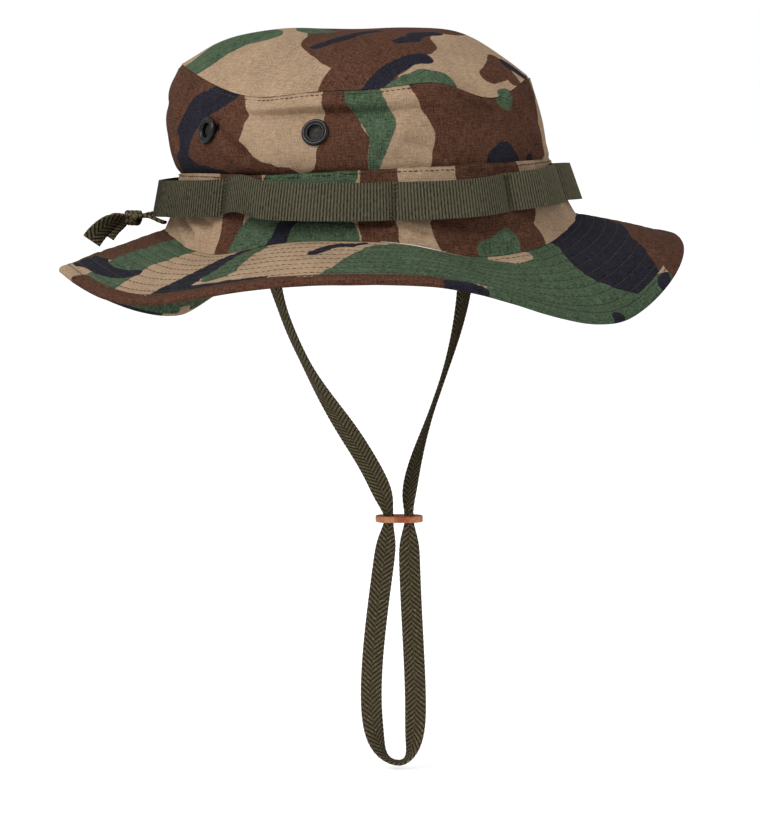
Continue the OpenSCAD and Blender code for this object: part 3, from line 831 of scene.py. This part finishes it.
bind_out = binding_section(a, turn_round, fold_t)
bind_inner = binding_section(a, turn_round, 0.05)
binding = shell("brim_binding_cloth", bind_inner, bind_out)
strip_w = 20.0
place = np.stack(np.broadcast_arrays(np.radians(a) * BRIM_MID_R, turn_round * strip_w), -1)
camouflage(binding, np.concatenate([place, place[:, ::-1]], 1).reshape(-1, 2), BINDING_PATCHES, 81)
dress(binding, camo, "camo_cloth", "brim_binding")

fine = np.arange(0, 360, 0.5)


def up(a):
    return np.tile([0.0, 0.0, 1.0], (len(a), 1))


def down(a):
    return -up(a)


def outward(a):
    return polar(a, np.ones_like(a), 0.0)


def quilt_line(s, face):
    s = np.full_like(fine, s)
    points = brim_top(fine, s) if face == 0 else brim_under(fine, s)
    return points, up(fine) if face == 0 else down(fine), True


rows = [quilt_line(s, face) for s in quilt_s for face in (0, 1)]
dress(stitches("brim_quilting_thread", rows, 2.7, 0.35, 0.22), thread, "olive_thread", "brim_quilting")


def binding_line(t, direction):
    p = binding_section(fine[:, None], np.array([[t]]), fold_t)[:, 0]
    return p, direction(fine), True


dress(stitches("binding_thread", [binding_line(0.13, up), binding_line(0.87, down)], 2.4),
      thread, "olive_thread", "binding_stitching")

crown_rows = [row_on(band, fine, 0.955, outward), row_on(wall, fine, 0.955, outward)]
crown_rows = [(line + 0.12 * out, out, closed) for line, out, closed in crown_rows]
dress(stitches("crown_thread", crown_rows, 1.9, 0.6, 0.24), thread, "olive_thread", "crown_stitching")


# ---- inside of the crown ----

def ring_strip(name, surface, v_low, v_high, inset, thick, material, slot_name, node):
    a = np.arange(0, 360, 1.0)[:, None]
    v = np.linspace(v_low, v_high, 14)[None]
    outer, inner = surface(a, v, inset), surface(a, v, inset + thick)
    obj = shell(name, outer, inner)
    p = np.concatenate([outer, inner[:, ::-1]], 1).reshape(-1, 3)
    around_mm = np.radians(np.repeat(a[:, 0], 28)) * WALL_MID_R
    set_field(obj, "cloth", np.column_stack([around_mm, p[:, 2], 0 * around_mm]))
    return dress(obj, material, slot_name, node)


ring_strip("sweatband_cloth", band, 0.02, 0.8, 4.6, 1.0, sweat_cloth, "sweatband_cotton", "sweatband")
ring_strip("top_seam_tape_cloth", wall, 0.84, 0.97, 1.3, 0.6, tape_cloth, "olive_webbing", "top_seam_tape")
sweat_row = (band(fine, np.full_like(fine, 0.74), 5.65), -outward(fine), True)
dress(stitches("sweatband_thread", [sweat_row]), thread, "olive_thread", "sweatband_stitching")


# ---- branch loops ----

web_a = np.linspace(0, 360, 2000, endpoint=False)[:, None]
web_v = np.linspace(0, 1, 12)[None]


def web_face(a, v, inset):
    low, high = WEB_LOW(a), WEB_HIGH(a)
    r = low[..., 0] + (high[..., 0] - low[..., 0]) * v - inset
    z = low[..., 1] + (high[..., 1] - low[..., 1]) * v
    return polar(a, r, z)


def tack_angles():
    angle, r, z = node_corners("loop_bar_tacks")
    order = np.sort(angle)
    return [float(g.mean()) for g in np.split(order, np.flatnonzero(np.diff(order) > 4) + 1)]


mid_line = web_face(web_a, np.array([[0.5]]), 0)[:, 0]
web_walk = np.concatenate([[0], np.cumsum(np.linalg.norm(np.diff(mid_line, axis=0), axis=1))])
rib = 0.22 * np.abs(np.sin(np.pi * web_walk / WEB_RIB))[:, None]
bow = 0.35 * ripple(web_face(web_a, web_v, 0), 20, 91)
bow = bow - 0.5 * sum(hump(turn(web_a, tack) * 1.55, 0, 0.9) for tack in tack_angles())
web_out = web_face(web_a, web_v, 0.1) + polar(web_a, rib + bow, 0 * web_v)
web_in = web_face(web_a, web_v, 1.15) + polar(web_a, bow - rib, 0 * web_v)
web = shell("branch_loop_band", web_out, web_in)
along_mm = np.repeat(web_walk, 24)
across_mm = np.tile(np.concatenate([web_v[0], web_v[0, ::-1]]) * 17, 2000)
set_field(web, "cloth", np.column_stack([along_mm, across_mm, 0 * along_mm]))
dress(web, webbing, "olive_webbing", "branch_loop_webbing")


tack_lines = []
for tack in tack_angles():
    for i in range(9):
        v = np.linspace(0.08, 0.92, 9)[i] + np.array([0.0, 0.03])
        half_deg = 0.75
        across = np.array([tack - half_deg, tack + half_deg]) + (v[0] - 0.5) * 1.2
        tack_lines.append((web_face(across, v, -0.25), outward(across), False))
dress(stitches("bar_tack_thread", tack_lines, 2.3, 0.01, 0.32), thread, "olive_thread", "loop_bar_tacks")


# ---- vents ----

def lathe(profile, origin, axis, steps=64):
    """A turned part: profile is (radius, height) pairs, heights running along the axis."""
    t = np.arange(steps) * 2 * np.pi / steps
    r, h = np.array(profile, float).T
    side, lift = across_axis(axis)
    return origin + h[None, :, None] * axis + r[None, :, None] * (
        np.cos(t)[:, None, None] * side + np.sin(t)[:, None, None] * lift)


def across_axis(axis):
    side = np.array([-axis[1], axis[0], 0.0])
    side = side / np.linalg.norm(side)
    return side, np.cross(axis, side)


def arc(cx, cy, r, start, end, n=10):
    t = np.radians(np.linspace(start, end, n))
    return [(cx + r * math.cos(x), cy + r * math.sin(x)) for x in t]


def joined(name, grids):
    """One mesh from several closed grids of points."""
    points, faces, count = [], [], 0
    for grid in grids:
        faces += grid_faces(grid.shape[0], grid.shape[1], True, True, count)
        points.append(grid.reshape(-1, 3))
        count += grid.shape[0] * grid.shape[1]
    return make_object(name, np.vstack(points), faces)


eyelets, washers, screen_lines = [], [], []
SCREEN_R = 3.6
for origin, axis, vent_a in vent_places():
    rim = arc(5.35, 0.55, 1.05, -70, 175, 18) + arc(4.2, 0.45, 0.35, 0, -90, 5)
    lip = arc(4.05, 0.75, 0.55, 0, 180, 12)
    profile = rim + lip + [(3.5, -3.6), (3.95, -3.8), (4.0, -0.3), (5.9, -0.3)]
    eyelets.append(lathe(profile, origin, axis))
    washers.append(lathe([(4.3, -2.2), (6.0, -2.2), (6.0, -2.7), (4.3, -2.7)], origin, axis))
    side, lift = across_axis(axis)
    for k in np.arange(-3.4, 3.45, 0.4):
        half = math.sqrt(SCREEN_R ** 2 - k * k)
        for one, other, depth in ((side, lift, 0.9), (lift, side, 1.05)):
            mid = origin - axis * depth + one * k
            wire = np.array([mid - other * half, mid + other * half])
            screen_lines.append((wire, np.array([axis, axis]), False))
dress(joined("vent_eyelet_rims", [e[:, ::-1] for e in eyelets]), black_paint, "black_metal", "vent_eyelets")
dress(joined("vent_washer_rings", washers), black_paint, "black_metal", "vent_washers")
dress(stitches("vent_screen_wires", screen_lines, 9.0, 0.01, 0.15), dark_wire, "dark_wire", "vent_screens")


# ---- cords ----

def bezier(p, t):
    t = np.asarray(t)[:, None]
    p = np.array(p, float)
    return (1 - t) ** 3 * p[0] + 3 * t * (1 - t) ** 2 * p[1] + 3 * t * t * (1 - t) * p[2] + t ** 3 * p[3]


def flat_braid(name, path, turns, widths, thicks, body):
    """A flat herringbone braid along a path. turns are the directions of its width: angles, or vectors."""
    walked = np.concatenate([[0], np.cumsum(np.linalg.norm(np.diff(path, axis=0), axis=1))])
    n = int(walked[-1] / 0.32)
    at = np.linspace(0, walked[-1], n)
    centre = np.stack([np.interp(at, walked, path[:, i]) for i in range(3)], -1)
    w, t = (np.interp(at, walked, x) for x in (widths, thicks))
    ahead = np.gradient(centre, axis=0)
    ahead /= np.linalg.norm(ahead, axis=1)[:, None]
    if np.ndim(turns) == 1:
        turns = polar(np.unwrap(turns, period=360), np.ones(len(path)), 0.0)
    flat = np.stack([np.interp(at, walked, turns[:, i]) for i in range(3)], -1)
    side = flat - (flat * ahead).sum(1)[:, None] * ahead
    side /= np.linalg.norm(side, axis=1)[:, None]
    face = np.cross(ahead, side)
    theta = np.linspace(0, 2 * np.pi, 30, endpoint=False)
    c, sn = np.cos(theta), np.sin(theta)
    across = np.sign(c) * np.abs(c) ** 0.75
    up_down = np.sign(sn) * np.abs(sn) ** 0.6
    x_mm = across[None] * w[:, None] / 2
    phase = at[:, None] / BRAID_PITCH + np.abs(x_mm) / BRAID_ACROSS + 0.5 * (across[None] > 0)
    strand = np.abs(np.sin(np.pi * phase)) ** 0.7
    edge = np.abs(across[None]) ** 6
    height = up_down[None] * (t[:, None] / 2) * (1 + 0.42 * (strand - 0.5))
    x_mm = x_mm * (1 + 0.035 * (strand - 0.5) * edge)
    points = centre[:, None] + side[:, None] * x_mm[..., None] + face[:, None] * height[..., None]
    faces = [f[::-1] for f in grid_faces(n, 30, False, True)]
    faces += [list(range(30)), [(n - 1) * 30 + 29 - i for i in range(30)]]
    obj = make_object(name, points, [f[::-1] for f in faces], body)
    set_field(obj, "cloth", np.column_stack([np.repeat(at, 30), x_mm.ravel(), 0 * x_mm.ravel()]))
    return obj


CORD_W, CORD_T = 10.0, 1.5
SLIDER_TURN = 35.0
HOLE_PITCH = 9.6
LOOP_SWAY = 2.8
slider_mid = middle("leather_slider")
cord_low, cord_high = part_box("chin_cord")
anchor = np.array(joint_named("chin_cord_swing")["pos_m"]) / MM
anchor = anchor + [0, cord_high.y / MM - CORD_T / 2, 0]
loop_z = cord_low.z / MM + CORD_T / 2
plane = polar(SLIDER_TURN, 1.0, 0.0)


def pinch(z):
    return hump(z, slider_mid[2], 9)


def cord_piece(name, path, turns):
    """Part of the chin cord, drawn in where it passes the slider."""
    widths = CORD_W - (CORD_W - 4.4) * pinch(path[:, 2])
    thicks = CORD_T + 1.3 * pinch(path[:, 2])
    return flat_braid(name, path, turns, widths, thicks, None)


legs = []
t = np.linspace(0, 1, 80)
for side, name in ((-1, "right"), (1, "left")):
    hole = slider_mid + side * HOLE_PITCH / 2 * plane
    head = anchor * np.array([1, side, 1])
    path = bezier([head, head + [7.4, -side, -65], [11.5, side * 10, -103], hole + [0, 0, 0.2]], t)
    if side < 0:
        twist = 65 * smooth((t - 0.32) / 0.35) - 30 * smooth(t / 0.2)
    else:
        twist = 35 * smooth((t - 0.55) / 0.35) - 50 * smooth(t / 0.5)
    legs.append(cord_piece("chin_cord_leg_" + name, path, twist))

across = bezier([[HOLE_PITCH / 2] * 2, [7] * 2, [19] * 2, [0] * 2], t)[:, :1]
height = bezier([[slider_mid[2]] * 2, [slider_mid[2] - 48] * 2, [loop_z] * 2, [loop_z] * 2], t)[:, :1]
sway = LOOP_SWAY * np.sin(np.pi * t)[:, None]
right_side, left_side = (slider_mid * [1, 1, 0] + (side * across - sway) * plane + height * [0, 0, 1]
                         for side in (-1, 1))
twist = 90 * smooth((t - 0.55) / 0.45)
turns = np.concatenate([SLIDER_TURN + twist, (SLIDER_TURN + 180 - twist)[-2::-1]])
loop = cord_piece("chin_cord_loop", np.vstack([right_side, left_side[-2::-1]]), turns)

for leg in legs:
    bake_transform(leg)
    dress(leg, braid, "olive_braid")
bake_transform(loop)
dress(loop, braid, "olive_braid", "chin_cord")


def cord_in_channel():
    """The cord's run between sweatband and crown, from each side to the back."""
    angle, r, z = node_corners("cord_in_channel")
    rise, inset = 8.0, 1.7
    loops = []
    for start, end in ((angle[angle < 0].min(), angle[angle < 0].max()), (angle[angle > 0].min(), 196.0)):
        a = np.arange(start, end, 0.35)[:, None]
        across = np.linspace(-1, 1, 16)[None]
        low, high = JOINT(a)[..., 1], WAIST(a)[..., 1]
        v = (rise + across * CORD_W / 2) / (high - low)
        strand = np.abs(np.sin(np.pi * (a * 0.72 + np.abs(across) * 2.2 + 0.5 * (across > 0)))) ** 0.7
        edge = 0.55 * np.abs(across) ** 6
        outer = band(a, v, inset + edge - 0.25 * strand)
        inner = band(a, v, inset + CORD_T - edge + 0.25 * strand)
        loops.append((outer, inner, a, across))
    for (outer, inner, a, across), name in zip(loops, ("right", "left")):
        obj = shell("cord_in_channel_" + name, outer, inner, wrap=False)
        along = np.radians(a) * WALL_MID_R + 0 * across
        width = across * CORD_W / 2 + 0 * a
        grid = np.stack([along, width, 0 * along], -1)
        set_field(obj, "cloth", np.concatenate([grid, grid[:, ::-1]], 1).reshape(-1, 3))
        dress(obj, braid, "olive_braid", *(["cord_in_channel"] if name == "left" else []))


cord_in_channel()


def back_tie():
    """Two strands from the crown, a knot wound from the same braid, and two slant-cut ends."""
    pivot = np.array(joint_named("back_tie_lift")["pos_m"]) / MM
    a = math.degrees(math.atan2(pivot[1], pivot[0]))
    low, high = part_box("back_tie")
    out, side, lift = polar(a, 1.0, 0.0), polar(a + 90, 1.0, 0.0), np.array([0.0, 0.0, 1.0])
    root = pivot - lift * 2

    def place(rows):
        return np.array([root + out * x + side * y + lift * z for x, y, z in rows])

    t = np.linspace(0, 1, 60)
    knot_x = 17.0
    for i, sign in enumerate((-1, 1)):
        strand = bezier(place([(0, -sign * 4, 0.6 + sign * 1.4), (5, -sign * 4, 2 + sign * 2),
                               (knot_x - 9, -sign * 3, 4), (knot_x - 1, -sign * 1.5, 1)]), t)
        flat = side + 0.2 * (t[:, None] * lift)
        widths = 6.5 - 2.5 * t
        dress(flat_braid("back_tie_strand_%d" % i, strand, flat, widths, np.full(60, CORD_T), "back_tie"),
              braid, "olive_braid")
        tail = bezier(place([(knot_x + 1, sign * 1.5, 1), (knot_x + 6, sign * 4, 2),
                             (knot_x + 13, sign * 7, -1), (knot_x + 18 + sign, sign * 8, -9 - sign)]), t)
        widths = 4.2 + 5.4 * smooth(t / 0.6)
        flat = (1 - t)[:, None] * side + (0.2 + 1.2 * t)[:, None] * lift - sign * 0.3 * t[:, None] * out
        dress(flat_braid("back_tie_tail_%d" % i, tail, flat, widths, np.full(60, CORD_T), "back_tie"),
              braid, "olive_braid")
    turn_t = np.linspace(0, 1, 160)
    wind = 2 * np.pi * 2.25 * turn_t
    coil = place(np.column_stack([knot_x - 2.4 + 4.8 * turn_t, 2.7 * np.cos(wind), 1 + 2.6 * np.sin(wind)]))
    flat, widths, thicks = np.tile(out, (160, 1)), np.full(160, 4.0), np.full(160, 2.0)
    knot = flat_braid("back_tie_knot", coil, flat, widths, thicks, "back_tie")
    dress(knot, braid, "olive_braid", "back_tie")


back_tie()


def slider_plate():
    """The CAD slider with its cut edges rounded over."""
    cad = frame["nodes"]["leather_slider"]
    mesh = bmesh.new()
    mesh.from_mesh(cad.data)
    bmesh.ops.remove_doubles(mesh, verts=mesh.verts, dist=1e-6)
    sharp = [e for e in mesh.edges if len(e.link_faces) == 2 and e.calc_face_angle() > math.radians(50)]
    bmesh.ops.bevel(mesh, geom=sharp, offset=0.55 * MM, segments=3, profile=0.6, affect="EDGES")
    data = bpy.data.meshes.new("leather_slider_plate")
    mesh.to_mesh(data)
    mesh.free()
    data.materials.clear()
    data.polygons.foreach_set("use_smooth", np.ones(len(data.polygons), bool))
    data.set_sharp_from_angle(angle=math.radians(40))
    plate = bpy.data.objects.new("leather_slider_plate", data)
    bpy.context.scene.collection.objects.link(plate)
    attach(plate, "slider")
    dress(plate, leather, "tan_leather", "leather_slider")


slider_plate()


# ---- stage, light and camera ----

# Where the camera looks: to the right of the head opening's centre, and below it.
VIEW_SHIFT, VIEW_HEIGHT = 4.8, -91


def target_of_view():
    turn_by = math.radians(VIEW_TURN)
    return Vector((VIEW_SHIFT * math.cos(turn_by), VIEW_SHIFT * math.sin(turn_by), VIEW_HEIGHT)) * MM


def area_light(name, azimuth, elevation, distance, size, power, colour=(1, 1, 1)):
    light = bpy.data.lights.new(name, "AREA")
    light.size, light.energy, light.color = size, power, colour
    obj = bpy.data.objects.new(name, light)
    bpy.context.scene.collection.objects.link(obj)
    a, e = math.radians(azimuth), math.radians(elevation)
    back = Vector((math.sin(a) * math.cos(e), -math.cos(a) * math.cos(e), math.sin(e)))
    obj.location = target_of_view() + back * distance
    obj.rotation_euler = (-back).to_track_quat("-Z", "Y").to_euler()


WORLD_LIGHT = 0.5
FLOOR_GLOW = 0.62         # brightens the floor for the camera only


def stage():
    scene = bpy.context.scene
    scene.view_settings.view_transform = "Standard"
    floor = bpy.data.objects.new("floor", bpy.data.meshes.new("floor"))
    size, z = 8.0, (loop_z - 3) * MM
    corners = [(-size, -size, z), (size, -size, z), (size, size, z), (-size, size, z)]
    floor.data.from_pydata(corners, [], [(0, 1, 2, 3)])
    scene.collection.objects.link(floor)
    s = Shader("floor", 1.0)
    s.put((1, 1, 1, 1), s.main.inputs["Emission Color"])
    s.put(s.times(s.node("ShaderNodeLightPath", out="Is Camera Ray"), FLOOR_GLOW),
          s.main.inputs["Emission Strength"])
    floor.data.materials.append(s.finish(srgb(250, 250, 250)))
    world = bpy.data.worlds.new("studio")
    scene.world = world
    world.use_nodes = True
    tree = world.node_tree
    shown = tree.nodes.new("ShaderNodeLightPath").outputs["Is Camera Ray"]
    level = tree.nodes.new("ShaderNodeMapRange")
    level.inputs["To Min"].default_value, level.inputs["To Max"].default_value = WORLD_LIGHT, 1.0
    tree.links.new(shown, level.inputs["Value"])
    background = tree.nodes["Background"]
    background.inputs[0].default_value = (1, 1, 1, 1)
    tree.links.new(level.outputs[0], background.inputs[1])
    area_light("key", -10, 42, 1.6, 0.8, 12)
    area_light("fill", 85, 20, 1.8, 1.2, 3)
    area_light("top", 35, 80, 1.6, 1.2, 2)
    camera = bpy.data.objects.new("camera", bpy.data.cameras.new("camera"))
    scene.collection.objects.link(camera)
    azimuth, elevation, distance = math.radians(VIEW_TURN), math.radians(VIEW_LIFT), VIEW_DISTANCE * MM
    back = Vector((math.sin(azimuth) * math.cos(elevation), -math.cos(azimuth) * math.cos(elevation),
                   math.sin(elevation)))
    camera.location = target_of_view() + back * distance
    camera.rotation_euler = (-back).to_track_quat("-Z", "Y").to_euler()
    camera.data.lens = 164
    camera.data.clip_start = 0.05
    scene.camera = camera


stage()
